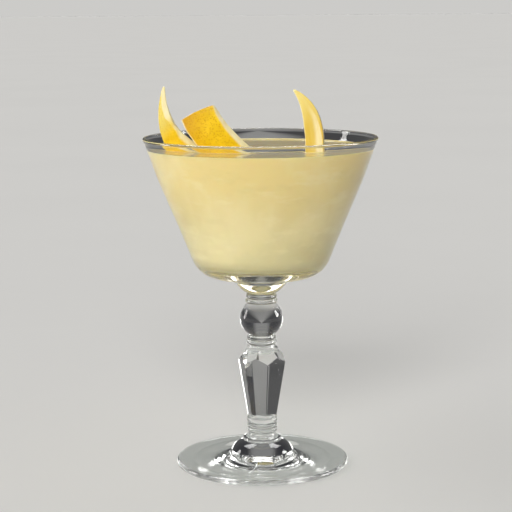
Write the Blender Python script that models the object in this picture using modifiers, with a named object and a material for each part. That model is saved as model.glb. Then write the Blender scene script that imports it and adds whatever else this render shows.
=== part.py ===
# A lemon and honey gin cocktail in a long-stemmed glass, with three pieces of lemon peel.
# Units are metres, +Z is up, and the origin is on the floor under the middle of the foot.
# Seen from the front, along +Y, +X is to the right.

import math

import bmesh
import bpy
from mathutils import Matrix, Vector

# Facets round every turned piece.
SIDES = 48
# Clear space between neighbouring pieces.
GAP = 0.0003

# Bowl.
GLASS_HEIGHT = 0.140
RIM_RADIUS = 0.0492
LIP_RADIUS = 0.00078
WALL_THICKNESS = 0.0013
# How far the lip's round bead goes past the wall's own directions, in degrees.
LIP_OVERHANG = 14.0
# Where the wall meets the shoulder, and how far the wall swells out between there and the lip.
WALL_FOOT = (0.02895, 0.0882)
WALL_BOW = 0.0005
WALL_BOW_POWER = 1.6
# Points up the wall, as shares of its length.
WALL_SHARES = (0.35, 0.60, 0.80)
WALL_END_SHARE = 0.965
SHOULDER_RADIUS = 0.0115
UNDERSIDE_SLOPE = 5.0
UNDERSIDE_POINT = (0.015, 0.08066)
FLOOR_HEIGHT = 0.0855
FLOOR_RADIUS = 0.015
FLOOR_RISE = 0.0004
INNER_SHOULDER_RADIUS = 0.0092

# Stem, from the collar under the bowl down to the foot.
COLLAR_RADIUS = 0.0110
COLLAR_FILLET = 0.0004
COLLAR_DROP = 0.0015
COLLAR_SWELL = 0.0005
COLLAR_FOOT = (0.0063, 0.0739)
BALL_RADIUS = 0.00915
BALL_HALF_HEIGHT = 0.0087
BALL_HEIGHT = 0.06295
BALL_CUTS = (47.0, -52.5)
NECK_RADIUS = 0.0060
# Each bead: height of its middle, its own height, its reach from the axis.
UPPER_BEADS = ((0.07240, 0.0018, 0.0066), (0.07055, 0.0019, 0.0068))
LOWER_BEADS = ((0.05465, 0.0017, 0.0063), (0.05285, 0.0019, 0.0065))
FOOT_BEADS = ((0.01880, 0.0028, 0.0066), (0.01650, 0.0018, 0.0065), (0.01460, 0.0020, 0.0066))
BEAD_GROOVE = 0.0001
# The skirt spreads from the neck to the top of the cut drop; the core runs on inside the drop.
SKIRT_RADIUS = 0.0069
SKIRT_SWELL = -0.0001
SKIRT_HEIGHTS = (0.0516, 0.0501, 0.0478)
CORE_RADIUS = 0.0050
CORE_HEIGHTS = (0.0470, 0.0212)

# The six-sided cut drop in the stem: long facets below the girdle, short ones above it.
DROP_SIDES = 6
DROP_TURN = 14.5
DROP_FOOT = 0.0194
DROP_TOP = 0.0506
DROP_OVERRUN = 0.001
GIRDLE_HEIGHT = 0.04433
GIRDLE_RADIUS = 0.01043
LONG_FACET_SLOPE = 0.1695
SHORT_FACET_SLOPE = 0.90

# Foot.
# The flare under the beads: its top, its round edge and the small groove below the edge.
FLARE_TOP = 0.0131
FLARE_RADIUS = 0.0082
FLARE_HEIGHT = 0.0104
FLARE_EDGE = 0.0008
FLARE_SWELL = -0.0003
FLARE_GROOVE = 0.0004
FOOT_RADIUS = 0.0368
FOOT_EDGE = 0.0022
BUTTON_RADIUS = 0.0132
BUTTON_FOOT = 0.0057
BUTTON_SWELL = 0.0006
DOME_POWER = 2.2
DOME_SHARES = (0.12, 0.30, 0.60)
# The underside is flat from the edge in to this radius, and hollow inside it.
REST_RING_RADIUS = 0.0295
UNDERCUT = 0.0014
UNDERCUT_SHARES = (1.0, 0.7, 0.4, 0.0)

# Drink.
DRINK_LEVEL = 0.1350

# Peel.
PEEL_THICKNESS = 0.0020
PEEL_CURVE_RADIUS = 0.024
# At its free end a peel has this share of its thickness, and all of it from TAPER_END on.
PEEL_THIN_SHARE = 0.35
PEEL_TAPER_END = 0.3
PEEL_STEPS_ALONG = 16
PEEL_STEPS_ACROSS = 4

# Each peel's spine runs from its free end, past a middle handle, to its end in the drink.
# half_widths are at the free end and at the full width; full_at is the share of the length
# where the full width is reached; facing turns the yellow side from the front, in degrees,
# to the left where positive, at the free end and at the sunk end; lean tips it upward.
PEELS = {
    "peel_left": {
        "spine": ((-0.0409, 0.0100, 0.1606), (-0.0449, 0.0050, 0.1380), (-0.0239, 0.0110, 0.1270)),
        "half_widths": (0.0004, 0.0072),
        "full_at": 1.22,
        "facing": (42.0, 26.0),
        "lean": 5.0,
    },
    "peel_middle": {
        "spine": ((-0.0265, 0.0025, 0.1508), (-0.0221, -0.0050, 0.1404), (-0.0067, 0.0000, 0.1270)),
        "half_widths": (0.0077, 0.0081),
        "full_at": 0.2,
        "facing": (8.0, 38.0),
        "lean": 12.0,
    },
    "peel_right": {
        "spine": ((0.0139, 0.0030, 0.1592), (0.0250, -0.0035, 0.1504), (0.0213, 0.0010, 0.1255)),
        "half_widths": (0.0004, 0.0042),
        "full_at": 0.71,
        "facing": (10.0, 34.0),
        "lean": 5.0,
    },
}

COLOURS = {
    "glass": (0.90, 0.93, 0.92),
    "drink": (0.80, 0.66, 0.27),
    "peel": (0.86, 0.55, 0.03),
}


def remove_everything():
    for thing in list(bpy.data.objects):
        bpy.data.objects.remove(thing, do_unlink=True)


def new_collection(name):
    collection = bpy.data.collections.new(name)
    bpy.context.scene.collection.children.link(collection)
    return collection


def material(name, colour, roughness, transmission=0.0):
    result = bpy.data.materials.new(name)
    result.use_nodes = True
    shader = result.node_tree.nodes["Principled BSDF"]
    shader.inputs["Base Color"].default_value = (*colour, 1.0)
    shader.inputs["Roughness"].default_value = roughness
    shader.inputs["Metallic"].default_value = 0.0
    shader.inputs["Transmission Weight"].default_value = transmission
    return result


# Outline helpers. A point is (distance from the axis, height).

def arc(centre, radii, start, end, steps):
    points = []
    for step in range(steps + 1):
        angle = math.radians(start + (end - start) * step / steps)
        points.append((centre[0] + radii[0] * math.cos(angle), centre[1] + radii[1] * math.sin(angle)))
    return points


def bowed(start, end, sag, steps):
    """A line from start to end that swells by sag to its left side."""
    run = (end[0] - start[0], end[1] - start[1])
    length = math.hypot(*run)
    left = (-run[1] / length, run[0] / length)
    points = []
    for step in range(steps + 1):
        share = step / steps
        swell = sag * 4 * share * (1 - share)
        points.append((start[0] + run[0] * share + left[0] * swell,
                       start[1] + run[1] * share + left[1] * swell))
    return points


def beads(bead_list, root_radius, steps=4):
    """Half-round beads that follow each other down the stem, with grooves between them."""
    points = []
    for height, thickness, reach in bead_list:
        points += arc((root_radius, height), (reach - root_radius, thickness / 2), 90, -90, steps)[:-1]
    last_height, last_thickness, _ = bead_list[-1]
    points.append((root_radius, last_height - last_thickness / 2))
    return points


# Bowl outlines. Offset is the distance in from the outer surface.

WALL_TOP = (RIM_RADIUS - LIP_RADIUS + WALL_THICKNESS / 2, GLASS_HEIGHT - LIP_RADIUS)
WALL_LEAN = math.atan2(WALL_TOP[0] - WALL_FOOT[0], WALL_TOP[1] - WALL_FOOT[1])
WALL_OUTWARD = (math.cos(WALL_LEAN), -math.sin(WALL_LEAN))


def wall_point(share, offset):
    """A point on the wall: share 0 is its foot, at the shoulder, and 1 is the lip."""
    outward = WALL_BOW * math.sin(math.pi * share ** WALL_BOW_POWER) ** 2 - offset
    radius = WALL_FOOT[0] + (WALL_TOP[0] - WALL_FOOT[0]) * share
    height = WALL_FOOT[1] + (WALL_TOP[1] - WALL_FOOT[1]) * share
    return (radius + outward * WALL_OUTWARD[0], height + outward * WALL_OUTWARD[1])


def wall_share(height, offset):
    """The share of the wall at which the offset surface reaches a height."""
    low, high = 0.0, 1.0
    for _ in range(40):
        middle = (low + high) / 2
        if wall_point(middle, offset)[1] < height:
            low = middle
        else:
            high = middle
    return (low + high) / 2


def shoulder(offset, base_point, base_slope, radius, steps):
    """The arc, from the wall down to the base, that is tangent to both."""
    wall = Vector(wall_point(0.0, offset))
    down_wall = Vector((-math.sin(WALL_LEAN), -math.cos(WALL_LEAN)))
    out_base = Vector((math.cos(math.radians(base_slope)), math.sin(math.radians(base_slope))))
    base = Vector(base_point)
    # The arc's centre lies at its radius from both lines.
    wall_inward = Vector((-math.cos(WALL_LEAN), math.sin(WALL_LEAN)))
    base_inward = Vector((-out_base.y, out_base.x))
    start = wall + wall_inward * radius
    origin = base + base_inward * radius
    across = down_wall.x * out_base.y - down_wall.y * out_base.x
    travel = ((origin.x - start.x) * out_base.y - (origin.y - start.y) * out_base.x) / across
    centre = start + down_wall * travel
    return arc(centre, (radius, radius), -math.degrees(WALL_LEAN), base_slope - 90.0, steps)


def outer_bowl():
    lean = math.degrees(WALL_LEAN)
    lip_centre = wall_point(1.0, WALL_THICKNESS / 2)
    points = arc((lip_centre[0], GLASS_HEIGHT - LIP_RADIUS), (LIP_RADIUS, LIP_RADIUS),
                 180.0 - lean + LIP_OVERHANG, -lean - LIP_OVERHANG, 6)
    points += [wall_point(share, 0.0) for share in (WALL_END_SHARE, *reversed(WALL_SHARES))]
    points += shoulder(0.0, UNDERSIDE_POINT, UNDERSIDE_SLOPE, SHOULDER_RADIUS, 6)
    return points


def inside_of_bowl(extra):
    """The inside from the middle of its floor out to the shoulder, moved in by extra."""
    floor = []
    for share in (0.0, 0.5, 1.0):
        floor.append((FLOOR_RADIUS * share, FLOOR_HEIGHT + FLOOR_RISE * share ** 2 + extra))
    slope = math.degrees(math.atan2(2 * FLOOR_RISE, FLOOR_RADIUS))
    bend = shoulder(WALL_THICKNESS + extra, floor[-1], slope, INNER_SHOULDER_RADIUS - extra, 6)
    return floor + bend[::-1]


def stem_outline():
    underside = UNDERSIDE_POINT[1] + (COLLAR_RADIUS - UNDERSIDE_POINT[0]) * math.tan(
        math.radians(UNDERSIDE_SLOPE))
    points = [(COLLAR_RADIUS + COLLAR_FILLET, underside), (COLLAR_RADIUS, underside - COLLAR_FILLET)]
    points += bowed((COLLAR_RADIUS, underside - COLLAR_DROP), COLLAR_FOOT, COLLAR_SWELL, 4)
    points += beads(UPPER_BEADS, NECK_RADIUS + BEAD_GROOVE)
    points += arc((0.0, BALL_HEIGHT), (BALL_RADIUS, BALL_HALF_HEIGHT), *BALL_CUTS, 10)
    points += beads(LOWER_BEADS, NECK_RADIUS - BEAD_GROOVE)
    neck_foot, skirt_foot, skirt_end = SKIRT_HEIGHTS
    points += bowed((NECK_RADIUS, neck_foot), (SKIRT_RADIUS, skirt_foot), SKIRT_SWELL, 2)
    points.append((SKIRT_RADIUS, skirt_end))
    points += [(CORE_RADIUS, height) for height in CORE_HEIGHTS]
    points += beads(FOOT_BEADS, NECK_RADIUS)
    return points


def foot_outline():
    points = bowed((NECK_RADIUS, FLARE_TOP), (FLARE_RADIUS - FLARE_EDGE / 4, FLARE_HEIGHT + FLARE_EDGE),
                   FLARE_SWELL, 3)
    groove_height = FLARE_HEIGHT - FLARE_GROOVE
    points += [(FLARE_RADIUS, FLARE_HEIGHT), (FLARE_RADIUS - FLARE_GROOVE / 4, groove_height)]
    # A rounded button under the flare, then a low dome that flattens towards the edge.
    points += bowed((FLARE_RADIUS + FLARE_GROOVE, groove_height), (BUTTON_RADIUS, BUTTON_FOOT),
                    BUTTON_SWELL, 4)
    edge_centre = FOOT_RADIUS - FOOT_EDGE / 2
    for share in DOME_SHARES:
        radius = BUTTON_RADIUS + (edge_centre - BUTTON_RADIUS) * share
        points.append((radius, FOOT_EDGE + (BUTTON_FOOT - FOOT_EDGE) * (1 - share) ** DOME_POWER))
    points += arc((edge_centre, FOOT_EDGE / 2), (FOOT_EDGE / 2, FOOT_EDGE / 2), 90, -90, 6)
    for share in UNDERCUT_SHARES:
        points.append((REST_RING_RADIUS * share, UNDERCUT * (1 - share ** 2)))
    return points


def glass_outline():
    """From the middle of the bowl's floor, over the lip and down the outside to the middle of
    the foot's underside."""
    inner_wall = [wall_point(share, WALL_THICKNESS) for share in (*WALL_SHARES, WALL_END_SHARE)]
    return inside_of_bowl(0.0) + inner_wall + outer_bowl() + stem_outline() + foot_outline()


def drink_outline():
    """From the middle of the drink's surface down its side to the middle of the bowl's floor."""
    offset = WALL_THICKNESS + GAP
    level_share = wall_share(DRINK_LEVEL, offset)
    wall = [wall_point(share, offset) for share in (*WALL_SHARES, level_share)]
    return [(0.0, DRINK_LEVEL)] + wall[::-1] + inside_of_bowl(GAP)[::-1]


# Objects.

def turned(name, outline, collection, surface):
    mesh = bpy.data.meshes.new(name)
    points = [(radius, 0.0, height) for radius, height in outline]
    edges = [(index, index + 1) for index in range(len(points) - 1)]
    mesh.from_pydata(points, edges, [])
    mesh.materials.append(surface)
    piece = bpy.data.objects.new(name, mesh)
    collection.objects.link(piece)
    screw = piece.modifiers.new("turn", "SCREW")
    screw.angle = 2 * math.pi
    screw.steps = SIDES
    screw.render_steps = SIDES
    screw.use_merge_vertices = True
    screw.merge_threshold = 0.00001
    screw.use_smooth_shade = True
    return piece


def frustum(name, foot, top, collection, turn):
    """A six-sided frustum; foot and top are each (corner radius, height)."""
    mesh = bpy.data.meshes.new(name)
    shape = bmesh.new()
    bmesh.ops.create_cone(shape, cap_ends=True, segments=DROP_SIDES, radius1=foot[0],
                          radius2=top[0], depth=top[1] - foot[1])
    place = Matrix.Translation((0.0, 0.0, (top[1] + foot[1]) / 2)) @ Matrix.Rotation(
        math.radians(turn), 4, "Z")
    bmesh.ops.transform(shape, matrix=place, verts=shape.verts)
    shape.to_mesh(mesh)
    shape.free()
    piece = bpy.data.objects.new(name, mesh)
    collection.objects.link(piece)
    hide_tool(piece)
    return piece


def hide_tool(piece):
    piece.hide_render = True
    piece.display_type = "WIRE"


def combine(piece, other, operation):
    cut = piece.modifiers.new("combine with " + other.name, "BOOLEAN")
    cut.operation = operation
    cut.object = other
    cut.solver = "EXACT"


def cut_drop(collection):
    """The cut drop: long facets narrowing downward, met at the girdle by short ones above."""
    def long_radius(height):
        return GIRDLE_RADIUS + LONG_FACET_SLOPE * (height - GIRDLE_HEIGHT)

    def short_radius(height):
        # The short facets meet the long facets' corners with the middle of each face.
        flat = GIRDLE_RADIUS - SHORT_FACET_SLOPE * (height - GIRDLE_HEIGHT)
        return flat / math.cos(math.pi / DROP_SIDES)

    # Each frustum runs a little past the other's end, so that their ends don't meet.
    above, below = DROP_TOP + DROP_OVERRUN, DROP_FOOT - DROP_OVERRUN
    drop = frustum("drop_long_facets", (long_radius(DROP_FOOT), DROP_FOOT),
                   (long_radius(above), above), collection, DROP_TURN)
    upper = frustum("drop_short_facets", (short_radius(below), below),
                    (short_radius(DROP_TOP), DROP_TOP), collection,
                    DROP_TURN + 180.0 / DROP_SIDES)
    combine(drop, upper, "INTERSECT")
    return drop


def spine_point(spine, share):
    start, handle, end = (Vector(point) for point in spine)
    return start * (1 - share) ** 2 + handle * 2 * share * (1 - share) + end * share ** 2


def spine_direction(spine, share):
    start, handle, end = (Vector(point) for point in spine)
    return ((handle - start) * (1 - share) + (end - handle) * share).normalized()


def peel_half_width(peel, share):
    narrow, full = peel["half_widths"]
    grown = min(share / peel["full_at"], 1.0)
    return narrow + (full - narrow) * math.sin(math.pi / 2 * grown)


def peel_point(peel, share, side, clearance):
    """A point of the yellow face: share runs along the spine and side from -1 to 1 across."""
    along = spine_direction(peel["spine"], share)
    turn = math.radians(peel["facing"][0] + (peel["facing"][1] - peel["facing"][0]) * share)
    lean = math.radians(peel["lean"])
    facing = Vector((-math.sin(turn) * math.cos(lean), -math.cos(turn) * math.cos(lean), math.sin(lean)))
    facing = (facing - along * facing.dot(along)).normalized()
    across = facing.cross(along)
    reach = side * (peel_half_width(peel, share) + clearance)
    fall = reach ** 2 / (2 * PEEL_CURVE_RADIUS)
    overrun = along * clearance * (2 * share - 1)
    return spine_point(peel["spine"], share) + across * reach - facing * (fall - clearance) + overrun


def peel_sheet(name, peel, clearance, collection, surface=None):
    """A curved strip of peel: its yellow face is a bent grid, and its pith lies behind it."""
    mesh = bpy.data.meshes.new(name)
    shape = bmesh.new()
    bmesh.ops.create_grid(shape, x_segments=PEEL_STEPS_ALONG, y_segments=PEEL_STEPS_ACROSS, size=1.0)
    shares = [(vertex.co.x + 1) / 2 for vertex in shape.verts]
    for vertex, share in zip(shape.verts, shares):
        vertex.co = peel_point(peel, share, vertex.co.y, clearance)
    shape.to_mesh(mesh)
    shape.free()
    if surface:
        mesh.materials.append(surface)
    mesh.shade_smooth()
    piece = bpy.data.objects.new(name, mesh)
    collection.objects.link(piece)
    depth = piece.vertex_groups.new(name="pith depth")
    for vertex in mesh.vertices:
        depth.add([vertex.index], min(shares[vertex.index] / PEEL_TAPER_END, 1.0), "REPLACE")
    solid = piece.modifiers.new("pith", "SOLIDIFY")
    solid.thickness = PEEL_THICKNESS + 2 * clearance
    solid.offset = -1.0
    solid.vertex_group = depth.name
    solid.thickness_vertex_group = PEEL_THIN_SHARE
    return piece


def build():
    remove_everything()
    parts = new_collection("bees_knees_cocktail")
    tools = new_collection("cutters")
    clear = material("clear_glass", COLOURS["glass"], 0.03, transmission=1.0)
    cloudy = material("cloudy_drink", COLOURS["drink"], 0.20)
    yellow = material("lemon_peel", COLOURS["peel"], 0.45)

    glass = turned("glass", glass_outline(), parts, clear)
    combine(glass, cut_drop(tools), "UNION")

    drink = turned("drink", drink_outline(), parts, cloudy)
    for name, peel in PEELS.items():
        peel_sheet(name, peel, 0.0, parts, yellow)
        pocket = peel_sheet(name + "_pocket", peel, GAP, tools)
        hide_tool(pocket)
        combine(drink, pocket, "DIFFERENCE")


build()
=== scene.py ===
# Looks for a lemon and honey gin cocktail in a pressed, long-stemmed glass.
# Metres, +Z up, the origin on the floor under the middle of the foot; the camera looks along +Y.

import math

import bmesh
import bpy
from mathutils import Matrix, Vector, noise


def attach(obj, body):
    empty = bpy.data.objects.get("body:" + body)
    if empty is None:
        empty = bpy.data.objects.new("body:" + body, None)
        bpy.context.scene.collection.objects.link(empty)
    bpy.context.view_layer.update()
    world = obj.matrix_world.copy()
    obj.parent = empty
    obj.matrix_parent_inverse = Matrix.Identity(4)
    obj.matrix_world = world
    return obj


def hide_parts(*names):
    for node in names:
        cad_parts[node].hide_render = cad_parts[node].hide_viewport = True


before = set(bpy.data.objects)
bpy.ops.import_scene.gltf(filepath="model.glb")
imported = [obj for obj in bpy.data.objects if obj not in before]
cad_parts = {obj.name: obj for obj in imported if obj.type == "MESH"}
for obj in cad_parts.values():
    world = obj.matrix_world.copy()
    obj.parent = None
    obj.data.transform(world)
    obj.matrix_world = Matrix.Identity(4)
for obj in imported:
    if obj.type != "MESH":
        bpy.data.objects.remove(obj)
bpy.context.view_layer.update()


# Outlines run from the inside out; a point is (distance from the axis, height).
def arc(centre, radii, start, end, steps):
    points = []
    for step in range(steps + 1):
        angle = math.radians(start + (end - start) * step / steps)
        points.append((centre[0] + radii[0] * math.cos(angle), centre[1] + radii[1] * math.sin(angle)))
    return points


# A line that swells by sag to its left side.
def bowed(start, end, sag, steps):
    run = (end[0] - start[0], end[1] - start[1])
    length = math.hypot(*run)
    left = (-run[1] / length, run[0] / length)
    points = []
    for step in range(steps + 1):
        share = step / steps
        swell = sag * 4 * share * (1 - share)
        points.append((start[0] + run[0] * share + left[0] * swell,
                       start[1] + run[1] * share + left[1] * swell))
    return points


def beads(beadList, rootRadius, steps):
    points = []
    for height, thickness, reach in beadList:
        points += arc((rootRadius, height), (reach - rootRadius, thickness / 2), 90, -90, steps)[:-1]
    lastHeight, lastThickness, _ = beadList[-1]
    points.append((rootRadius, lastHeight - lastThickness / 2))
    return points


bowl = {
    "height": 0.140,
    "rimRadius": 0.0492,
    "lipRadius": 0.00078,
    "wall": 0.0013,
    "lipOverhang": 14.0,  # degrees that the round lip runs on past half a turn, on each side
    "lipSteps": 24,
    "wallFoot": (0.02895, 0.0882),  # where the wall meets the shoulder
    "wallBow": 0.0005,
    "wallBowPower": 1.6,
    "wallEnd": 0.965,
    "wallSteps": 34,
    "shoulderRadius": 0.0115,
    "undersideSlope": 5.0,  # degrees
    "undersidePoint": (0.015, 0.08066),
    "floorHeight": 0.0855,
    "floorRadius": 0.015,
    "floorRise": 0.0004,
    "innerShoulderRadius": 0.0092,
    "floorSteps": 14,
    "shoulderSteps": 22,
    "halvings": 40,  # how finely a height on the wall is searched for
}

wallTop = (bowl["rimRadius"] - bowl["lipRadius"] + bowl["wall"] / 2, bowl["height"] - bowl["lipRadius"])
wallLean = math.atan2(wallTop[0] - bowl["wallFoot"][0], wallTop[1] - bowl["wallFoot"][1])


# Share 0 is the wall's foot and 1 the lip; offset is the distance in from the outer surface.
def wallPoint(share, offset):
    out = bowl["wallBow"] * math.sin(math.pi * share ** bowl["wallBowPower"]) ** 2 - offset
    radius = bowl["wallFoot"][0] + (wallTop[0] - bowl["wallFoot"][0]) * share
    height = bowl["wallFoot"][1] + (wallTop[1] - bowl["wallFoot"][1]) * share
    return (radius + out * math.cos(wallLean), height - out * math.sin(wallLean))


def wallShare(height, offset):
    low, high = 0.0, 1.0
    for _ in range(bowl["halvings"]):
        middle = (low + high) / 2
        if wallPoint(middle, offset)[1] < height:
            low = middle
        else:
            high = middle
    return (low + high) / 2


# The bowl's side at an offset from its outer surface: the arc that turns from the base into the
# wall, tangent to both, and then the wall up to a share of its length.
def bowlSide(offset, basePoint, baseSlope, radius, end):
    wall = Vector(wallPoint(0.0, offset))
    downWall = Vector((-math.sin(wallLean), -math.cos(wallLean)))
    outBase = Vector((math.cos(math.radians(baseSlope)), math.sin(math.radians(baseSlope))))
    start = wall + Vector((-math.cos(wallLean), math.sin(wallLean))) * radius
    origin = Vector(basePoint) + Vector((-outBase.y, outBase.x)) * radius
    across = downWall.x * outBase.y - downWall.y * outBase.x
    travel = ((origin.x - start.x) * outBase.y - (origin.y - start.y) * outBase.x) / across
    centre = start + downWall * travel
    points = arc(centre, (radius, radius), baseSlope - 90.0, -math.degrees(wallLean), bowl["shoulderSteps"])
    bendEnd = wallShare(points[-1][1], offset)
    for step in range(1, bowl["wallSteps"] + 1):
        points.append(wallPoint(bendEnd + (end - bendEnd) * step / bowl["wallSteps"], offset))
    return points


# From the middle of the bowl's floor out and up its side; extra moves it in from the glass.
def bowlInside(extra, end):
    floor = []
    for step in range(bowl["floorSteps"] + 1):
        share = step / bowl["floorSteps"]
        rise = bowl["floorRise"] * share ** 2
        floor.append((bowl["floorRadius"] * share, bowl["floorHeight"] + rise + extra))
    slope = math.degrees(math.atan2(2 * bowl["floorRise"], bowl["floorRadius"]))
    shoulder = bowl["innerShoulderRadius"] - extra
    return floor[:-1] + bowlSide(bowl["wall"] + extra, floor[-1], slope, shoulder, end)


def bowlOutside():
    lean, lipRadius = math.degrees(wallLean), bowl["lipRadius"]
    lipCentre = (wallPoint(1.0, bowl["wall"] / 2)[0], bowl["height"] - lipRadius)
    lip = arc(lipCentre, (lipRadius, lipRadius), 180.0 - lean + bowl["lipOverhang"],
              -lean - bowl["lipOverhang"], bowl["lipSteps"])
    side = bowlSide(0.0, bowl["undersidePoint"], bowl["undersideSlope"], bowl["shoulderRadius"],
                    bowl["wallEnd"])
    return lip + side[::-1]


stem = {
    "collarRadius": 0.0110,
    "collarFillet": 0.0004,
    "collarDrop": 0.0015,
    "collarSwell": 0.0005,
    "collarFoot": (0.0063, 0.0739),
    "neckRadius": 0.0060,
    "ballRadius": 0.00915,
    "ballHalfHeight": 0.0087,
    "ballHeight": 0.06295,
    "ballCuts": (47.0, -52.5),  # degrees above and below its middle where it meets the beads
    # Each bead: the height of its middle, its own height, its reach from the axis.
    "upperBeads": ((0.07240, 0.0018, 0.0066), (0.07055, 0.0019, 0.0068)),
    "lowerBeads": ((0.05465, 0.0017, 0.0063), (0.05285, 0.0019, 0.0065)),
    "footBeads": ((0.01880, 0.0028, 0.0066), (0.01650, 0.0018, 0.0065), (0.01460, 0.0020, 0.0066)),
    "beadGroove": 0.0001,
    "beadSteps": 14,
    "skirtRadius": 0.0069,
    "skirtSwell": -0.0001,
    "skirtHeights": (0.0516, 0.0501, 0.0478),
    "coreRadius": 0.0050,
    "coreHeights": (0.0470, 0.0212),
    "filletSteps": 6,
    "collarSteps": 16,
    "ballSteps": 44,
    "skirtSteps": 6,
}


def stemOutline():
    slope = math.tan(math.radians(bowl["undersideSlope"]))
    underside = bowl["undersidePoint"][1] + (stem["collarRadius"] - bowl["undersidePoint"][0]) * slope
    collar, fillet, neck = stem["collarRadius"], stem["collarFillet"], stem["neckRadius"]
    groove, beadSteps = stem["beadGroove"], stem["beadSteps"]
    points = arc((collar + fillet, underside - fillet), (fillet, fillet), 90, 180, stem["filletSteps"])
    points += bowed((collar, underside - stem["collarDrop"]), stem["collarFoot"], stem["collarSwell"],
                    stem["collarSteps"])
    points += beads(stem["upperBeads"], neck + groove, beadSteps)
    points += arc((0.0, stem["ballHeight"]), (stem["ballRadius"], stem["ballHalfHeight"]),
                  *stem["ballCuts"], stem["ballSteps"])
    points += beads(stem["lowerBeads"], neck - groove, beadSteps)
    neckFoot, skirtFoot, skirtEnd = stem["skirtHeights"]
    points += bowed((neck, neckFoot), (stem["skirtRadius"], skirtFoot), stem["skirtSwell"],
                    stem["skirtSteps"])
    points.append((stem["skirtRadius"], skirtEnd))
    points += [(stem["coreRadius"], height) for height in stem["coreHeights"]]
    points += beads(stem["footBeads"], neck, beadSteps)
    return points


foot = {
    "flareTop": 0.0131,
    "flareRadius": 0.0082,
    "flareHeight": 0.0104,
    "flareEdge": 0.0008,
    "flareSwell": -0.0003,
    "flareSteps": 8,
    "flareGroove": 0.0004,
    "grooveTurn": 60,
    "radius": 0.0368,
    "edge": 0.0022,
    "edgeSteps": 20,
    "buttonRadius": 0.0132,
    "buttonFoot": 0.0057,
    "buttonSwell": 0.0006,
    "buttonSteps": 16,
    "domePower": 2.2,
    "domeSteps": 40,
    "restRing": 0.0295,  # flat underneath from the edge in to this radius, hollow inside it
    "hollow": 0.0014,
    "hollowSteps": 26,
}


def footOutline():
    flare, height = foot["flareRadius"], foot["flareHeight"]
    edge, groove = foot["flareEdge"], foot["flareGroove"]
    steps, turn = foot["flareSteps"], foot["grooveTurn"]
    points = bowed((stem["neckRadius"], foot["flareTop"]), (flare - edge / 4, height + edge),
                   foot["flareSwell"], steps)
    points += arc((flare - groove / 2, height), (groove / 2, edge / 2), turn, -turn, steps)
    points += bowed((flare + groove, height - groove), (foot["buttonRadius"], foot["buttonFoot"]),
                    foot["buttonSwell"], foot["buttonSteps"])
    edgeRadius = foot["edge"] / 2
    edgeCentre = foot["radius"] - edgeRadius
    for step in range(1, foot["domeSteps"]):
        share = step / foot["domeSteps"]
        radius = foot["buttonRadius"] + (edgeCentre - foot["buttonRadius"]) * share
        rise = (foot["buttonFoot"] - foot["edge"]) * (1 - share) ** foot["domePower"]
        points.append((radius, foot["edge"] + rise))
    points += arc((edgeCentre, edgeRadius), (edgeRadius, edgeRadius), 90, -90, foot["edgeSteps"])
    for step in range(foot["hollowSteps"] + 1):
        share = 1 - step / foot["hollowSteps"]
        points.append((foot["restRing"] * share, foot["hollow"] * (1 - share ** 2)))
    return points


def newPiece(name, mesh):
    piece = bpy.data.objects.new(name, mesh)
    bpy.context.scene.collection.objects.link(piece)
    return piece


def turnedPiece(name, outline, sides):
    mesh = bpy.data.meshes.new(name)
    points = [(radius, 0.0, height) for radius, height in outline]
    mesh.from_pydata(points, [(index, index + 1) for index in range(len(points) - 1)], [])
    piece = newPiece(name, mesh)
    screw = piece.modifiers.new("turn", "SCREW")
    screw.angle = 2 * math.pi
    screw.steps = screw.render_steps = sides
    screw.use_merge_vertices = True
    screw.merge_threshold = 1e-6
    return piece


# Makes the piece's modifiers part of its mesh.
def settle(piece):
    bpy.context.view_layer.update()
    shaped = piece.evaluated_get(bpy.context.evaluated_depsgraph_get())
    mesh = bpy.data.meshes.new_from_object(shaped)
    mesh.name = piece.name
    piece.modifiers.clear()
    piece.data = mesh
    return piece


drop = {
    "sides": 6,
    "turn": 14.5,  # degrees
    "foot": 0.0194,
    "top": 0.0506,
    "overrun": 0.001,
    "girdleHeight": 0.04433,
    "girdleRadius": 0.01043,
    "longSlope": 0.1695,
    "shortSlope": 0.90,
    "edgeRound": 0.0003,
    "edgeSegments": 3,
    "edgeAngle": 12,
}


def frustum(name, low, high, turn):
    mesh = bpy.data.meshes.new(name)
    shape = bmesh.new()
    bmesh.ops.create_cone(shape, cap_ends=True, segments=drop["sides"], radius1=low[0], radius2=high[0],
                          depth=high[1] - low[1])
    place = Matrix.Translation((0, 0, (low[1] + high[1]) / 2)) @ Matrix.Rotation(math.radians(turn), 4, "Z")
    bmesh.ops.transform(shape, matrix=place, verts=shape.verts)
    shape.to_mesh(mesh)
    shape.free()
    return newPiece(name, mesh)


def combine(piece, other, operation):
    cut = piece.modifiers.new("combine", "BOOLEAN")
    cut.operation = operation
    cut.object = other
    cut.solver = "EXACT"
    settle(piece)
    bpy.data.objects.remove(other)


# Long facets narrowing downward, met at the girdle by short ones above.
def cutDrop():
    def longRadius(height):
        return drop["girdleRadius"] + drop["longSlope"] * (height - drop["girdleHeight"])

    def shortRadius(height):
        flat = drop["girdleRadius"] - drop["shortSlope"] * (height - drop["girdleHeight"])
        return flat / math.cos(math.pi / drop["sides"])

    low, top, turn = drop["foot"], drop["top"], drop["turn"]
    above, below = top + drop["overrun"], low - drop["overrun"]
    piece = frustum("cutDrop", (longRadius(low), low), (longRadius(above), above), turn)
    upper = frustum("shortFacets", (shortRadius(below), below), (shortRadius(top), top),
                    turn + 180.0 / drop["sides"])
    combine(piece, upper, "INTERSECT")
    rounding = piece.modifiers.new("worn edges", "BEVEL")
    rounding.width = drop["edgeRound"]
    rounding.segments = drop["edgeSegments"]
    rounding.limit_method = "ANGLE"
    rounding.angle_limit = math.radians(drop["edgeAngle"])
    return settle(piece)


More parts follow.
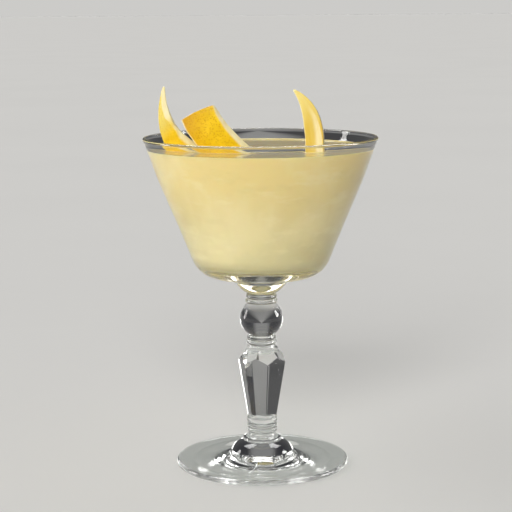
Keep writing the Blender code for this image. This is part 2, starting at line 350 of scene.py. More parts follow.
glassForm = {
    "sides": 192,
    "waveSize": 0.016,
    "waveDepth": 0.00002,
    "sharpAngle": 38,
    "facetWeight": 80,  # how far a flat facet keeps its own shading beside a rounded edge
}


def makeGlass():
    outline = bowlInside(0.0, bowl["wallEnd"]) + bowlOutside() + stemOutline() + footOutline()
    piece = turnedPiece("stemGlass", outline, glassForm["sides"])
    settle(piece)
    combine(piece, cutDrop(), "UNION")
    mesh = piece.data
    # Pressed glass is never quite true: long, shallow waves run over it.
    moves = []
    for vertex in mesh.vertices:
        wave = noise.noise(vertex.co / glassForm["waveSize"])
        moves.append(vertex.co + vertex.normal * wave * glassForm["waveDepth"])
    for vertex, moved in zip(mesh.vertices, moves):
        vertex.co = moved
    mesh.shade_smooth()
    mesh.set_sharp_from_angle(angle=math.radians(glassForm["sharpAngle"]))
    facing = piece.modifiers.new("flat facets", "WEIGHTED_NORMAL")
    facing.keep_sharp = True
    facing.weight = glassForm["facetWeight"]
    return piece


peelForm = {
    "thickness": 0.0020,
    "curveRadius": 0.024,
    "thinShare": 0.35,
    "taperEnd": 0.3,
    "step": 0.00022,
    "edgeCrowding": 0.6,
    "rimRows": 8,
    "zestDepth": 0.00045,
    "poreSize": 0.00088,
    "poreDepth": 0.00014,
    "poreEdge": (0.08, 0.56),
    "lumpSize": 0.0030,
    "lumpDepth": 0.00008,
    "edgeRound": 0.00022,
    "edgeFade": (0.2, 1.0),
    "edgePith": 0.8,
    "edgeDullShade": 0.5,
    "rightSoft": 0.08,
    "deepestCut": 0.75,  # the most that a cut takes of the thickness
    "cutPower": 1.3,
    "paleSlant": 0.05,
    "amberFade": (0.36, 1.1),  # across the peel and along it
    "ragged": 0.010,
    "raggedTurns": 14,
    "pithLumpSize": 0.0011,
    "pithLumpDepth": 0.00005,
    "pithLumpStart": 3,
    "pithLumpSeed": 7,
    "zestEdge": 0.7,
    "spineSteps": 20,
    "sharpAngle": 50,
}

# The slanted cut that shows the pith lies between cutLeft and cutRight, from -1 to 1 across the
# peel, and cutShows says how much of it shows; each is a row of (share of the length, value).
# The skin faces the degrees of facing, at the free end and at the foot, and leans back by lean.
peels = {
    "peelLeft": {
        "node": "peel_left",
        "spine": ((-0.0409, 0.0100, 0.1606), (-0.0449, 0.0050, 0.1380), (-0.0239, 0.0110, 0.1270)),
        "halfWidths": (0.0004, 0.0072),
        "fullAt": 1.22,
        "facing": (42.0, 26.0),
        "lean": 5.0,
        "cutLeft": ((0.0, -0.7), (0.13, -0.12), (0.30, 0.22), (0.40, 0.75), (0.50, 0.82), (0.62, 0.62),
                    (1.0, 0.55)),
        "cutRight": ((0.0, 1.1), (1.0, 1.1)),
        "cutShows": ((0.0, 0.9), (0.30, 1.0), (0.41, 0.25), (0.50, 1.0), (1.0, 1.0)),
        "cutDepth": 0.0010,
        "cutSoft": 0.30,
        "paleUntil": (0.36, 0.56),
        "amber": 0.0,
        "dullShade": 0.0,
        "paleEdge": (0.00030, 0.0008),
        "pores": 0.6,
        "seed": 3.0,
    },
    "peelMiddle": {
        "node": "peel_middle",
        "spine": ((-0.0265, 0.0025, 0.1508), (-0.0221, -0.0050, 0.1404), (-0.0067, 0.0000, 0.1270)),
        "halfWidths": (0.0077, 0.0081),
        "fullAt": 0.2,
        "facing": (8.0, 38.0),
        "lean": 12.0,
        "cutLeft": ((0.0, 0.90), (0.25, 0.80), (0.60, 0.74), (1.0, 0.70)),
        "cutRight": ((0.0, 1.1), (1.0, 1.1)),
        "cutShows": ((0.0, 1.0), (1.0, 1.0)),
        "cutDepth": 0.0012,
        "cutSoft": 0.14,
        "paleUntil": (-2.0, -1.0),
        "amber": 1.0,
        "dullShade": 0.0,
        "paleEdge": (0.00075, 0.00045),
        "pores": 1.0,
        "seed": 11.0,
    },
    "peelRight": {
        "node": "peel_right",
        "spine": ((0.0139, 0.0030, 0.1592), (0.0250, -0.0035, 0.1504), (0.0213, 0.0010, 0.1255)),
        "halfWidths": (0.0004, 0.0042),
        "fullAt": 0.71,
        "facing": (10.0, 34.0),
        "lean": 5.0,
        "cutLeft": ((0.0, 0.0), (0.30, 0.0), (0.50, 0.22), (1.0, 0.26)),
        "cutRight": ((0.0, 0.3), (0.30, 0.45), (0.50, 0.72), (0.75, 0.92), (1.0, 0.92)),
        "cutShows": ((0.0, 0.0), (0.25, 0.10), (0.60, 0.80), (1.0, 1.0)),
        "cutDepth": 0.0004,
        "cutSoft": 0.45,
        "paleUntil": (0.05, 0.75),
        "amber": 0.0,
        # Painted shade: this peel's whole skin is painted darker.
        "dullShade": 1.0,
        "paleEdge": (0.00065, 0.0016),
        "pores": 0.15,
        "seed": 23.0,
    },
}


def smooth(low, high, value):
    share = min(max((value - low) / (high - low), 0.0), 1.0)
    return share * share * (3 - 2 * share)


def between(pairs, share):
    for (first, low), (second, high) in zip(pairs, pairs[1:]):
        if share <= second:
            return low + (high - low) * smooth(first, second, share)
    return pairs[-1][1]


def spinePoint(spine, share):
    start, handle, end = (Vector(point) for point in spine)
    return start * (1 - share) ** 2 + handle * 2 * share * (1 - share) + end * share ** 2


def spineDirection(spine, share):
    start, handle, end = (Vector(point) for point in spine)
    return ((handle - start) * (1 - share) + (end - handle) * share).normalized()


def peelHalfWidth(peel, share):
    narrow, full = peel["halfWidths"]
    grown = min(share / peel["fullAt"], 1.0)
    return narrow + (full - narrow) * math.sin(math.pi / 2 * grown)


# A point of the peel: share runs along the spine, side from -1 to 1 across, depth in from the skin.
def peelPoint(peel, share, side, depth):
    along = spineDirection(peel["spine"], share)
    turn = math.radians(peel["facing"][0] + (peel["facing"][1] - peel["facing"][0]) * share)
    lean = math.radians(peel["lean"])
    facing = Vector((-math.sin(turn) * math.cos(lean), -math.cos(turn) * math.cos(lean), math.sin(lean)))
    facing = (facing - along * facing.dot(along)).normalized()
    across = facing.cross(along)
    reach = side * peelHalfWidth(peel, share)
    fall = reach ** 2 / (2 * peelForm["curveRadius"])
    angle = reach / peelForm["curveRadius"]
    inward = -facing * math.cos(angle) - across * math.sin(angle)
    return spinePoint(peel["spine"], share) + across * reach - facing * fall + inward * depth


def peelThickness(share):
    grown = min(share / peelForm["taperEnd"], 1.0)
    thin = peelForm["thinShare"]
    return peelForm["thickness"] * (thin + (1 - thin) * grown)


def poreMask(point, size):
    nearest = noise.voronoi(point / size)[0]
    return 1 - smooth(*peelForm["poreEdge"], nearest[0])


# Depth of the skin side at a place, and its masks.
def skinAt(peel, length, share, side):
    seed = Vector((peel["seed"], 0, 0))
    left, right = between(peel["cutLeft"], share), between(peel["cutRight"], share)
    soft, rightSoft = peel["cutSoft"], peelForm["rightSoft"]
    onCut = smooth(left - soft / 2, left + soft / 2, side)
    onCut *= 1 - smooth(right - rightSoft, right + rightSoft, side)
    onCut *= between(peel["cutShows"], share)
    place = peelPoint(peel, share, side, 0.0)
    lump = noise.noise((place + seed) / peelForm["lumpSize"])
    pore = poreMask(place + seed, peelForm["poreSize"]) * peel["pores"] * (1 - onCut)
    past = min(max(side - left, 0.0) / max(1 - left, 0.01), 1.0)
    deepest = min(peel["cutDepth"], peelForm["deepestCut"] * peelThickness(share))
    depth = deepest * onCut * past ** peelForm["cutPower"]
    depth += pore * peelForm["poreDepth"] + lump * peelForm["lumpDepth"] * (1 - onCut)
    # The cut edges at the left and at the free end are a little round, and show a pale line.
    leftWidth, topWidth = peel["paleEdge"]
    leftEdge = 1 - smooth(*peelForm["edgeFade"], (side + 1) * peelHalfWidth(peel, share) / leftWidth)
    topEdge = 1 - smooth(*peelForm["edgeFade"], share * length / topWidth)
    edge = max(leftEdge, topEdge)
    depth += peelForm["edgeRound"] * edge ** 2
    amberAcross, amberAlong = peelForm["amberFade"]
    masks = {
        "pith": max(onCut, peelForm["edgePith"] * edge),
        "pore": pore,
        "pale": 1 - smooth(*peel["paleUntil"], share + peelForm["paleSlant"] * side),
        "amber": peel["amber"] * (1 - smooth(0.0, 1.0, amberAcross * (side + 1) + amberAlong * share)),
        # The dull mask is partly painted shade: it darkens a peel's skin, less at its rounded edges.
        "dullShade": peel["dullShade"] * (1 - peelForm["edgeDullShade"] * edge),
    }
    return depth, masks


def makePeel(name):
    peel = peels[name]
    spine, spineSteps = peel["spine"], peelForm["spineSteps"]
    length = 0.0
    for step in range(spineSteps):
        length += (spinePoint(spine, (step + 1) / spineSteps) - spinePoint(spine, step / spineSteps)).length
    alongSteps = int(length / peelForm["step"])
    acrossSteps = int(2 * peel["halfWidths"][1] / peelForm["step"])
    crowd = peelForm["edgeCrowding"]

    def crowded(value):
        return (1 - crowd) * value + crowd * math.sin(math.pi / 2 * value)

    shares = [(crowded(2 * step / alongSteps - 1) + 1) / 2 for step in range(alongSteps + 1)]
    sides = [crowded(2 * step / acrossSteps - 1) for step in range(acrossSteps + 1)]
    seed = Vector((peel["seed"], 0, 0))
    points, masks = [], []

    def addPoint(share, side, depthShare):
        skinDepth, skinMasks = skinAt(peel, length, share, side)
        thickness = peelThickness(share)
        # The cut sides wander a little, and the edges of skin and pith are a little round.
        wander = noise.noise(Vector((share * peelForm["raggedTurns"], side, peel["seed"])))
        ragged = 1 + peelForm["ragged"] * wander
        depth = skinDepth * (1 - depthShare) + thickness * depthShare
        point = peelPoint(peel, share, side * ragged, depth)
        if depthShare > 0:
            lump = noise.noise_vector((point + seed) / peelForm["pithLumpSize"])
            point += lump * peelForm["pithLumpDepth"] * min(depthShare * peelForm["pithLumpStart"], 1)
        zest = peelForm["zestDepth"] + peelForm["edgeRound"] + peelForm["poreDepth"]
        skinMasks["pith"] = max(skinMasks["pith"], smooth(peelForm["zestEdge"] * zest, zest, depth))
        points.append(point)
        masks.append(skinMasks)
        return len(points) - 1

    front = [[addPoint(share, side, 0.0) for side in sides] for share in shares]
    back = [[addPoint(share, side, 1.0) for side in sides] for share in shares]
    faces = []
    for row in range(alongSteps):
        for column in range(acrossSteps):
            faces.append((front[row][column], front[row][column + 1], front[row + 1][column + 1],
                          front[row + 1][column]))
            faces.append((back[row][column], back[row + 1][column], back[row + 1][column + 1],
                          back[row][column + 1]))
    edge = [(0, column) for column in range(acrossSteps)]
    edge += [(row, acrossSteps) for row in range(alongSteps)]
    edge += [(alongSteps, column) for column in range(acrossSteps, 0, -1)]
    edge += [(row, 0) for row in range(alongSteps, 0, -1)]
    rings = [[front[row][column] for row, column in edge]]
    for ring in range(1, peelForm["rimRows"]):
        depthShare = ring / peelForm["rimRows"]
        rings.append([addPoint(shares[row], sides[column], depthShare) for row, column in edge])
    rings.append([back[row][column] for row, column in edge])
    for upper, lower in zip(rings, rings[1:]):
        for index in range(len(edge)):
            after = (index + 1) % len(edge)
            faces.append((upper[index], lower[index], lower[after], upper[after]))

    mesh = bpy.data.meshes.new(name)
    mesh.from_pydata(points, [], faces)
    for maskName in masks[0]:
        layer = mesh.attributes.new(maskName, "FLOAT", "POINT")
        layer.data.foreach_set("value", [mask[maskName] for mask in masks])
    mesh.shade_smooth()
    mesh.set_sharp_from_angle(angle=math.radians(peelForm["sharpAngle"]))
    return newPiece(name, mesh)


drink = {
    "level": 0.1350,
    "intoWall": 0.00008,  # reaches just into the glass, so that no air shows between them
    "sides": 192,
    "surfaceSteps": 70,
    "surfaceCrowding": 1.6,
    "wallRise": 0.0005,
    "wallReach": 0.0007,
    "peelRise": 0.0006,
    "peelReach": 0.0009,
    "ripple": 0.00004,
    "rippleSize": 0.011,
    "stillWidth": 0.002,  # at the wall nothing else moves the surface
    "lineSteps": 12,
    "halvings": 24,
    "sharpAngle": 60,
}


# Where a peel passes through the drink's surface, as a row of points across it.
def waterline(peel):
    points = []
    inside = peelForm["thickness"] / 2
    for step in range(drink["lineSteps"] + 1):
        side = 2 * step / drink["lineSteps"] - 1
        low, high = 0.0, 1.0
        for _ in range(drink["halvings"]):
            middle = (low + high) / 2
            if peelPoint(peel, middle, side, inside).z > drink["level"]:
                low = middle
            else:
                high = middle
        points.append(peelPoint(peel, low, side, inside).to_2d())
    return points


def distanceTo(line, point):
    best = math.inf
    for start, end in zip(line, line[1:]):
        run = end - start
        share = min(max((point - start).dot(run) / max(run.length_squared, 1e-12), 0.0), 1.0)
        best = min(best, (point - start - run * share).length)
    return best


def makeDrink():
    offset = bowl["wall"] - drink["intoWall"]
    top = drink["level"] + drink["wallRise"]
    inside = bowlInside(-drink["intoWall"], wallShare(top, offset))[::-1]
    wallRadius = inside[0][0]
    surface = []
    for step in range(drink["surfaceSteps"] + 1):
        share = step / drink["surfaceSteps"]
        radius = wallRadius * (1 - (1 - share) ** drink["surfaceCrowding"])
        rise = drink["wallRise"] * math.exp(-(wallRadius - radius) / drink["wallReach"])
        surface.append((radius, drink["level"] + rise))
    piece = settle(turnedPiece("drinkBody", surface[:-1] + inside, drink["sides"]))
    lines = [waterline(peel) for peel in peels.values()]
    mesh = piece.data
    openSurface = mesh.attributes.new("openSurface", "FLOAT", "POINT")
    for vertex in mesh.vertices:
        flat = vertex.co.to_2d()
        onTop = vertex.co.z >= drink["level"] - 1e-6 and flat.length < wallRadius - 1e-5
        openSurface.data[vertex.index].value = 1.0 if onTop else 0.0
        if not onTop:
            continue
        fade = smooth(0.0, drink["stillWidth"], wallRadius - flat.length)
        for line in lines:
            away = distanceTo(line, flat) - peelForm["thickness"] / 2
            vertex.co.z += fade * drink["peelRise"] * math.exp(-max(away, 0.0) / drink["peelReach"])
        vertex.co.z += fade * drink["ripple"] * noise.noise(vertex.co / drink["rippleSize"])
    mesh.shade_smooth()
    mesh.set_sharp_from_angle(angle=math.radians(drink["sharpAngle"]))
    return piece


def newMaterial(name):
    result = bpy.data.materials.new(name)
    result.use_nodes = True
    return result, result.node_tree, result.node_tree.nodes["Principled BSDF"]


def addNode(tree, kind, inputs=None, **settings):
    node = tree.nodes.new(kind)
    for key, value in settings.items():
        setattr(node, key, value)
    for key, value in (inputs or {}).items():
        if isinstance(value, bpy.types.NodeSocket):
            tree.links.new(value, node.inputs[key])
        else:
            node.inputs[key].default_value = value
    return node


def mixColour(tree, factor, first, second, blend="MIX"):
    node = addNode(tree, "ShaderNodeMix", data_type="RGBA", blend_type=blend)
    for key, value in ((0, factor), (6, first), (7, second)):
        if isinstance(value, bpy.types.NodeSocket):
            tree.links.new(value, node.inputs[key])
        else:
            node.inputs[key].default_value = (*value, 1.0) if key else value
    return node.outputs[2]


def mapped(tree, value, low, high, newLow, newHigh):
    node = addNode(tree, "ShaderNodeMapRange",
                   {"Value": value, "From Min": low, "From Max": high, "To Min": newLow, "To Max": newHigh},
                   interpolation_type="SMOOTHSTEP")
    return node.outputs["Result"]


def maskFrom(tree, name):
    return addNode(tree, "ShaderNodeAttribute", attribute_name=name).outputs["Fac"]


mottleForm = {"detail": 4.0, "roughness": 0.55}


# Cloudy unevenness that the materials share, each at its own scale. Where a settings row holds a
# cloud, it is (scale, where it starts, where it is full, how it is squeezed along X, Y and Z).
def makeMottle():
    group = bpy.data.node_groups.new("mottle", "ShaderNodeTree")
    sockets = (("Scale", "INPUT", "NodeSocketFloat"), ("Stretch", "INPUT", "NodeSocketVector"),
               ("Low", "INPUT", "NodeSocketFloat"), ("High", "INPUT", "NodeSocketFloat"),
               ("Mask", "OUTPUT", "NodeSocketFloat"))
    for name, way, kind in sockets:
        group.interface.new_socket(name=name, in_out=way, socket_type=kind)
    given = group.nodes.new("NodeGroupInput")
    place = group.nodes.new("ShaderNodeTexCoord")
    stretched = addNode(group, "ShaderNodeVectorMath",
                        {0: place.outputs["Object"], 1: given.outputs["Stretch"]}, operation="MULTIPLY")
    cloud = addNode(group, "ShaderNodeTexNoise",
                    {"Vector": stretched.outputs[0], "Scale": given.outputs["Scale"],
                     "Detail": mottleForm["detail"], "Roughness": mottleForm["roughness"]})
    spread = addNode(group, "ShaderNodeMapRange",
                     {"Value": cloud.outputs["Fac"], "From Min": given.outputs["Low"],
                      "From Max": given.outputs["High"]}, interpolation_type="SMOOTHSTEP")
    result = group.nodes.new("NodeGroupOutput")
    group.links.new(spread.outputs["Result"], result.inputs["Mask"])
    return group


mottle = makeMottle()


def mottled(tree, scale, low, high, stretch=(1, 1, 1)):
    node = tree.nodes.new("ShaderNodeGroup")
    node.node_tree = mottle
    node.inputs["Scale"].default_value = scale
    node.inputs["Stretch"].default_value = stretch
    node.inputs["Low"].default_value = low
    node.inputs["High"].default_value = high
    return node.outputs["Mask"]


glassLooks = {
    "colour": (0.985, 0.993, 0.990, 1),
    "shadowTint": (0.88, 0.90, 0.89, 1),
    "ior": 1.52,
    "smears": (70, 0.45, 0.75),
    "smearRoughness": 0.03,
}


def clearGlass():
    result, tree, shader = newMaterial("clearGlass")
    shader.inputs["Base Color"].default_value = glassLooks["colour"]
    shader.inputs["IOR"].default_value = glassLooks["ior"]
    shader.inputs["Transmission Weight"].default_value = 1.0
    shader.inputs["Metallic"].default_value = 0.0
    # Handling leaves faint dull smears, no more than a breath on the polish.
    smear = mottled(tree, *glassLooks["smears"])
    tree.links.new(mapped(tree, smear, 0, 1, 0.0, glassLooks["smearRoughness"]), shader.inputs["Roughness"])
    # Lamps and diffuse bounces go straight through, so the drink and the floor are lit softly.
    path = tree.nodes.new("ShaderNodeLightPath")
    straight = addNode(tree, "ShaderNodeMath",
                       {0: path.outputs["Is Shadow Ray"], 1: path.outputs["Is Diffuse Ray"]},
                       operation="MAXIMUM")
    clear = addNode(tree, "ShaderNodeBsdfTransparent", {"Color": glassLooks["shadowTint"]})
    mix = addNode(tree, "ShaderNodeMixShader",
                  {0: straight.outputs[0], 1: shader.outputs[0], 2: clear.outputs[0]})
    tree.links.new(mix.outputs[0], tree.nodes["Material Output"].inputs["Surface"])
    return result


drinkLooks = {
    # The lower colour is darker than the upper one: a painted shade on the drink's lower part.
    "upper": (0.81, 0.635, 0.26),
    "lower": (0.69, 0.605, 0.325),
    "haze": (0.88, 0.76, 0.42),
    "wisp": (0.90, 0.79, 0.48),
    "deep": (0.62, 0.49, 0.20),
    "hazeCloud": (34, 0.38, 0.68, (1.0, 1.0, 0.6)),
    "hazeShare": 0.5,
    "wispCloud": (75, 0.46, 0.74, (1.0, 1.0, 2.8)),
    "wispShare": 0.30,
    "deepCloud": (62, 0.50, 0.76, (1.0, 1.0, 2.0)),
    "deepShare": 0.22,
    "shadeHeights": (0.086, 0.130),  # heights between which the colour turns from lower to upper
    "ior": 1.34,
    "againstGlass": 1.34 / 1.52,
    "subsurface": 0.40,
    "radius": (1.0, 0.72, 0.28),
    "radiusScale": 0.003,
    "roughness": (0.6, 0.06),  # against the glass and at the open surface
    "mirrorColour": (0.97, 0.95, 0.88, 1),
    "mirrorRoughness": 0.03,
}


def cloudyDrink():
    result, tree, shader = newMaterial("cloudyDrink")
    place = tree.nodes.new("ShaderNodeTexCoord")
    parts = addNode(tree, "ShaderNodeSeparateXYZ", {0: place.outputs["Object"]})
    # Painted shade: by height the colour turns from the darker lower colour to the upper one.
    height = mapped(tree, parts.outputs["Z"], *drinkLooks["shadeHeights"], 0.0, 1.0)
    shadeAndHaze = mixColour(tree, height, drinkLooks["lower"], drinkLooks["upper"])
    # Wisps lie level in the haze, a little paler and a little darker than the rest.
    for cloud in ("haze", "wisp", "deep"):
        mask = mottled(tree, *drinkLooks[cloud + "Cloud"])
        faint = mapped(tree, mask, 0, 1, 0.0, drinkLooks[cloud + "Share"])
        shadeAndHaze = mixColour(tree, faint, shadeAndHaze, drinkLooks[cloud])
    tree.links.new(shadeAndHaze, shader.inputs["Base Color"])
    openSurface = maskFrom(tree, "openSurface")
    # Only the open surface glitters.
    tree.links.new(mapped(tree, openSurface, 0, 1, *drinkLooks["roughness"]), shader.inputs["Roughness"])
    shader.inputs["IOR"].default_value = drinkLooks["ior"]
    shader.inputs["Subsurface Weight"].default_value = drinkLooks["subsurface"]
    shader.inputs["Subsurface Radius"].default_value = drinkLooks["radius"]
    shader.inputs["Subsurface Scale"].default_value = drinkLooks["radiusScale"]
    # Under its surface the drink meets glass, which mirrors wholly at a low angle: a clear lens in
    # the base.
    fresnel = addNode(tree, "ShaderNodeFresnel", {"IOR": drinkLooks["againstGlass"]})
    wetted = mapped(tree, openSurface, 0, 1, 1, 0)
    mirrored = addNode(tree, "ShaderNodeMath", {0: fresnel.outputs[0], 1: wetted}, operation="MULTIPLY")
    mirror = addNode(tree, "ShaderNodeBsdfAnisotropic",
                     {"Color": drinkLooks["mirrorColour"], "Roughness": drinkLooks["mirrorRoughness"]})
    mix = addNode(tree, "ShaderNodeMixShader",
                  {0: mirrored.outputs[0], 1: shader.outputs[0], 2: mirror.outputs[0]})
    tree.links.new(mix.outputs[0], tree.nodes["Material Output"].inputs["Surface"])
    return result


peelLooks = {
    "golden": (0.72, 0.465, 0.006),
    "bright": (0.83, 0.56, 0.018),
    "amber": (0.56, 0.29, 0.001),
    "pale": (0.70, 0.54, 0.095),
    # Painted shade: the dull colours are darker and stand in for the shade on a peel's skin.
    "dullShade": (0.60, 0.405, 0.045),
    "dullShadePale": (0.70, 0.57, 0.18),
    "pore": (0.52, 0.265, 0.002),
    "pith": (0.80, 0.73, 0.45),
    "pithShade": (0.73, 0.60, 0.27),
    "skinCloud": (160, 0.36, 0.66),
    "fibreCloud": (330, 0.38, 0.66, (1, 1, 0.12)),
    "fibreShare": 0.45,
    "poreShare": 0.75,
    "threadCloud": (420, 0.35, 0.7, (1, 1, 0.35)),
    "threadShare": 0.5,
    "roughness": (0.46, 0.62),  # of the skin and of the pith
    "grainScale": 1500.0,
    "grainDetail": 3.0,
    "grainStrength": 0.25,
    "grainDepth": 0.0001,
    "ior": 1.38,
    "subsurface": 0.15,
    "radius": (1.0, 0.6, 0.1),
    "radiusScale": 0.0008,
}


def lemonPeel():
    result, tree, shader = newMaterial("lemonPeel")
    maskNames = ("pith", "pore", "pale", "amber", "dullShade")
    pith, pore, pale, amber, dullShade = (maskFrom(tree, name) for name in maskNames)
    cloudy = mottled(tree, *peelLooks["skinCloud"])
    skin = mixColour(tree, cloudy, peelLooks["golden"], peelLooks["bright"])
    skin = mixColour(tree, amber, skin, peelLooks["amber"])
    skin = mixColour(tree, pale, skin, peelLooks["pale"])
    # Where the blade went deep the skin is thin and dull, and long pale fibres run through it; this dull
    # skin is also painted darker, a painted shade.
    fibres = addNode(tree, "ShaderNodeMath",
                     {0: mottled(tree, *peelLooks["fibreCloud"]), 1: peelLooks["fibreShare"]},
                     operation="MULTIPLY").outputs[0]
    shadedFibres = mixColour(tree, fibres, peelLooks["dullShade"], peelLooks["dullShadePale"])
    shadedFibres = mixColour(tree, pale, shadedFibres, peelLooks["dullShadePale"])
    skin = mixColour(tree, dullShade, skin, shadedFibres)
    skin = mixColour(tree, mapped(tree, pore, 0, 1, 0, peelLooks["poreShare"]), skin, peelLooks["pore"])
    threads = mapped(tree, mottled(tree, *peelLooks["threadCloud"]), 0, 1, 0, peelLooks["threadShare"])
    white = mixColour(tree, threads, peelLooks["pith"], peelLooks["pithShade"])
    tree.links.new(mixColour(tree, pith, skin, white), shader.inputs["Base Color"])
    tree.links.new(mapped(tree, pith, 0, 1, *peelLooks["roughness"]), shader.inputs["Roughness"])
    place = tree.nodes.new("ShaderNodeTexCoord").outputs["Object"]
    grain = addNode(tree, "ShaderNodeTexNoise",
                    {"Vector": place, "Scale": peelLooks["grainScale"], "Detail": peelLooks["grainDetail"]})
    bump = addNode(tree, "ShaderNodeBump",
                   {"Strength": peelLooks["grainStrength"], "Distance": peelLooks["grainDepth"],
                    "Height": grain.outputs["Fac"]})
    tree.links.new(bump.outputs["Normal"], shader.inputs["Normal"])
    shader.inputs["IOR"].default_value = peelLooks["ior"]
    shader.inputs["Subsurface Weight"].default_value = peelLooks["subsurface"]
    shader.inputs["Subsurface Radius"].default_value = peelLooks["radius"]
    shader.inputs["Subsurface Scale"].default_value = peelLooks["radiusScale"]
    return result


print("glass")
glassPiece = makeGlass()
glassPiece.data.materials.clear()
glassPiece.data.materials.append(clearGlass())
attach(glassPiece, "root")
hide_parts("glass")

print("peels")
peelSurface = lemonPeel()
# Vector noise starts from a seed, and without one the pith's lumps would differ in each run.
noise.seed_set(peelForm["pithLumpSeed"])
for peelName in peels:
    peelPiece = makePeel(peelName)
    peelPiece.data.materials.append(peelSurface)
    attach(peelPiece, "root")
    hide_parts(peels[peelName]["node"])

print("drink")
drinkPiece = makeDrink()
drinkPiece.data.materials.append(cloudyDrink())
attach(drinkPiece, "root")
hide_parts("drink")

stage = {
    "floorDrop": 0.0002,
    "floorSize": 90.0,
    "floorColour": (0.80, 0.797, 0.79),
    "floorCloud": (3, 0.3, 0.7),
    "floorShade": 0.985,
    "floorRoughness": 0.8,
    "farReach": (0.045, 0.16),
    "sideReach": (0.02, 0.10),
    "farMiddle": 0.62,
    "farFloor": (0.07, 0.07, 0.075),
    "backdropLow": (0.603, 0.597, 0.58),
    "backdropHigh": (0.59, 0.588, 0.577),
    "skyTurns": (0.05, 0.5),
    "behindGlass": (0.20, 0.20, 0.20),
    "mirrored": (0.16, 0.16, 0.16),
    "fill": (0.07, 0.07, 0.07),
    "fillLeft": (2.3, 2.28, 2.20),
    "leftTurns": (-0.95, -0.35),
    "fillBack": (1.9, 1.9, 1.88),
    "backTurns": (0.60, 1.0),
    "screen": (0.03, 0.03, 0.035),
    "sideScreens": (0.14, 0.34),
    "topScreen": (0.66, 0.84),
    "skyStrength": 1.0,
}


def makeFloor():
    mesh = bpy.data.meshes.new("floor")
    shape = bmesh.new()
    bmesh.ops.create_grid(shape, x_segments=1, y_segments=1, size=stage["floorSize"] / 2)
    bmesh.ops.translate(shape, vec=(0, 0, -stage["floorDrop"]), verts=shape.verts)
    shape.to_mesh(mesh)
    shape.free()
    result, tree, shader = newMaterial("paleFloor")
    shade = tuple(value * stage["floorShade"] for value in stage["floorColour"])
    soft = mixColour(tree, mottled(tree, *stage["floorCloud"]), stage["floorColour"], shade)
    # Bent through the glass, the floor grows darker away from the foot and most to its sides,
    # so that each facet and ridge shows.
    place = tree.nodes.new("ShaderNodeTexCoord").outputs["Object"]
    away = addNode(tree, "ShaderNodeVectorMath", {0: place}, operation="LENGTH").outputs["Value"]
    across = addNode(tree, "ShaderNodeSeparateXYZ", {0: place}).outputs["X"]
    sideways = addNode(tree, "ShaderNodeMath", {0: across}, operation="ABSOLUTE").outputs[0]
    far = mapped(tree, away, *stage["farReach"], 0.0, 1.0)
    aside = mapped(tree, sideways, *stage["sideReach"], stage["farMiddle"], 1.0)
    darker = addNode(tree, "ShaderNodeMath", {0: far, 1: aside}, operation="MULTIPLY").outputs[0]
    bent = tree.nodes.new("ShaderNodeLightPath").outputs["Is Transmission Ray"]
    hidden = addNode(tree, "ShaderNodeMath", {0: darker, 1: bent}, operation="MULTIPLY").outputs[0]
    tree.links.new(mixColour(tree, hidden, soft, stage["farFloor"]), shader.inputs["Base Color"])
    shader.inputs["Roughness"].default_value = stage["floorRoughness"]
    shader.inputs["Specular IOR Level"].default_value = 0.0
    mesh.materials.append(result)
    return newPiece("floor", mesh)


def makeSky():
    world = bpy.data.worlds.new("studio")
    bpy.context.scene.world = world
    world.use_nodes = True
    tree = world.node_tree
    place = tree.nodes.new("ShaderNodeTexCoord")
    parts = addNode(tree, "ShaderNodeSeparateXYZ", {0: place.outputs["Generated"]})
    high = mapped(tree, parts.outputs["Z"], *stage["skyTurns"], 0.0, 1.0)
    openSky = mixColour(tree, high, stage["backdropLow"], stage["backdropHigh"])
    # The fill light on dull surfaces comes mostly from the left, and some of it from behind.
    leftward = mapped(tree, parts.outputs["X"], *stage["leftTurns"], 1.0, 0.0)
    backward = mapped(tree, parts.outputs["Y"], *stage["backTurns"], 0.0, 1.0)
    fill = mixColour(tree, leftward, stage["fill"], stage["fillLeft"], "ADD")
    fill = mixColour(tree, backward, fill, stage["fillBack"], "ADD")
    # Dark screens stand left, right and overhead; only what is seen through the glass shows them.
    sideways = addNode(tree, "ShaderNodeMath", {0: parts.outputs["X"]}, operation="ABSOLUTE").outputs[0]
    beside = mapped(tree, sideways, *stage["sideScreens"], 0.0, 1.0)
    above = mapped(tree, parts.outputs["Z"], *stage["topScreen"], 0.0, 1.0)
    screened = addNode(tree, "ShaderNodeMath", {0: beside, 1: above}, operation="MAXIMUM").outputs[0]
    screens = mixColour(tree, screened, stage["behindGlass"], stage["screen"])
    # A ray that leaves the glass is a glossy one and a transmission one, so the screens come last.
    path = tree.nodes.new("ShaderNodeLightPath")
    seen = mixColour(tree, path.outputs["Is Diffuse Ray"], stage["mirrored"], fill)
    seen = mixColour(tree, path.outputs["Is Transmission Ray"], seen, screens)
    colour = mixColour(tree, path.outputs["Is Camera Ray"], seen, openSky)
    background = tree.nodes["Background"]
    tree.links.new(colour, background.inputs["Color"])
    background.inputs["Strength"].default_value = stage["skyStrength"]


# Soft lamps that glint in the glass without lighting dull surfaces, each with its place, its width
# and height, its power in watts and its colour.
lamps = {
    "stripLeft": ((-0.85, 0.20, 0.20), (0.22, 0.60), 3.0, (1.0, 0.985, 0.96)),
    "boxRight": ((0.85, 0.10, 0.30), (0.30, 0.45), 6.0, (1.0, 0.99, 0.98)),
    "overRim": ((0.0, 0.28, 0.90), (1.30, 0.45), 14.0, (1.0, 1.0, 1.0)),
}
lampTarget = Vector((0, 0, 0.09))
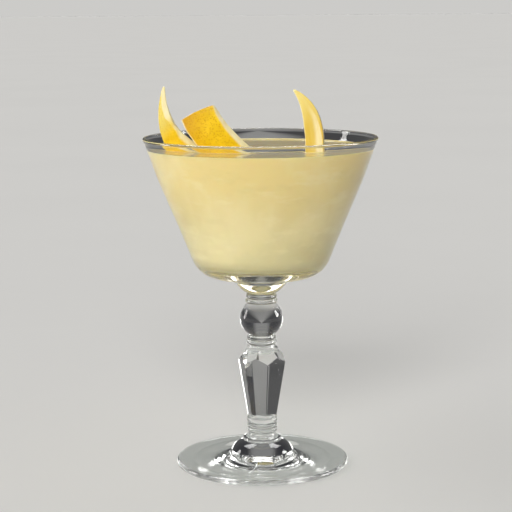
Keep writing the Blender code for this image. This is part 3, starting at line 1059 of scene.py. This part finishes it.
# The wide soft key lights dull surfaces, and has no edge of its own in the glass.
key = {"from": (-0.14, -0.92, 0.38), "angle": 36.0, "strength": 2.6, "colour": (1.0, 0.985, 0.96)}


def makeLamp(name):
    place, (width, height), power, colour = lamps[name]
    light = bpy.data.lights.new(name, "AREA")
    light.shape = "RECTANGLE"
    light.size, light.size_y = width, height
    light.energy = power
    light.color = colour
    lamp = newPiece(name, light)
    lamp.location = place
    lamp.rotation_euler = (lampTarget - lamp.location).to_track_quat("-Z", "Y").to_euler()
    lamp.visible_diffuse = False


def makeKey():
    light = bpy.data.lights.new("key", "SUN")
    light.angle = math.radians(key["angle"])
    light.energy = key["strength"]
    light.color = key["colour"]
    lamp = newPiece("key", light)
    lamp.rotation_euler = (-Vector(key["from"])).to_track_quat("-Z", "Y").to_euler()
    lamp.visible_glossy = False
    lamp.visible_transmission = False


view = {
    "distance": 0.650,
    "height": 0.19284,
    "pitchDown": 9.033,
    "turnLeft": 0.191,
    "roll": -0.40,
    "sensor": 36.0,
    "lens": 109.46,
    "clipStart": 0.01,
}


def makeCamera():
    camera = newPiece("camera", bpy.data.cameras.new("camera"))
    camera.data.sensor_width = view["sensor"]
    camera.data.lens = view["lens"]
    camera.data.clip_start = view["clipStart"]
    tilt = Matrix.Rotation(math.radians(90 - view["pitchDown"]), 4, "X")
    swing = Matrix.Rotation(math.radians(view["turnLeft"]), 4, "Z")
    roll = Matrix.Rotation(math.radians(view["roll"]), 4, "Z")
    place = Matrix.Translation((0, -view["distance"], view["height"]))
    camera.matrix_world = place @ swing @ tilt @ roll
    bpy.context.scene.camera = camera


print("stage")
makeFloor()
makeSky()
for lampName in lamps:
    makeLamp(lampName)
makeKey()
makeCamera()
bpy.context.scene.view_settings.view_transform = "Standard"
# Light runs a long way inside the foot and the drop, mirrored from face to face.
bounces = {"glossy": 32, "transmission": 32, "clear": 24, "all": 40}
paths = bpy.context.scene.cycles
paths.glossy_bounces = bounces["glossy"]
paths.transmission_bounces = bounces["transmission"]
paths.transparent_max_bounces = bounces["clear"]
paths.max_bounces = bounces["all"]
